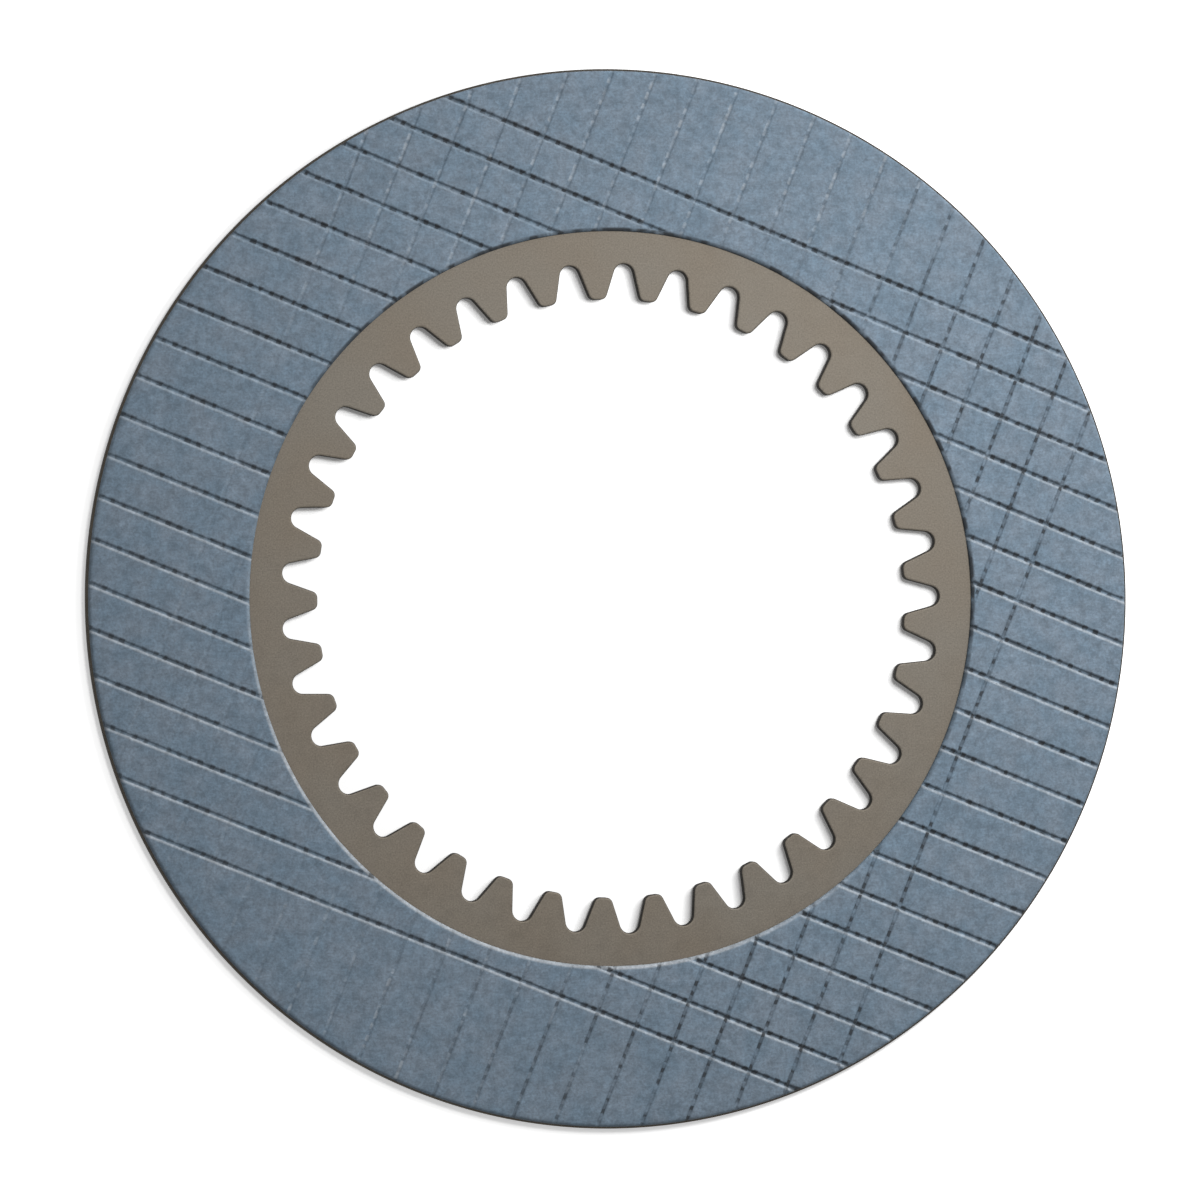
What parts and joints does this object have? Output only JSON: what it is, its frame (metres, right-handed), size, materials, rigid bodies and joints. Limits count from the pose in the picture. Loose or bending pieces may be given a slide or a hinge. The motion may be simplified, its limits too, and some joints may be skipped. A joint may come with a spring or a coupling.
{
  "type": "wet clutch friction disc",
  "caption": "Flat steel ring with spline teeth on its inner edge and a grooved paper friction facing bonded to each side.",
  "frame": {"origin": "centre of the disc, halfway through its thickness, on the axis of the teeth", "axes": "+Z along the disc's axis, out of the front facing; +X and +Y in the plane of the core plate, with the first pass of oil grooves 21.9 degrees clockwise from +X seen from +Z"},
  "size_m": [0.2026, 0.2026, 0.004],
  "materials": {
    "core_steel": "satin",
    "friction_paper": "matte"
  },
  "bodies": {
    "root": {"core_plate": "core_steel", "front_facing": "friction_paper", "rear_facing": "friction_paper"}
  },
  "joints": []
}
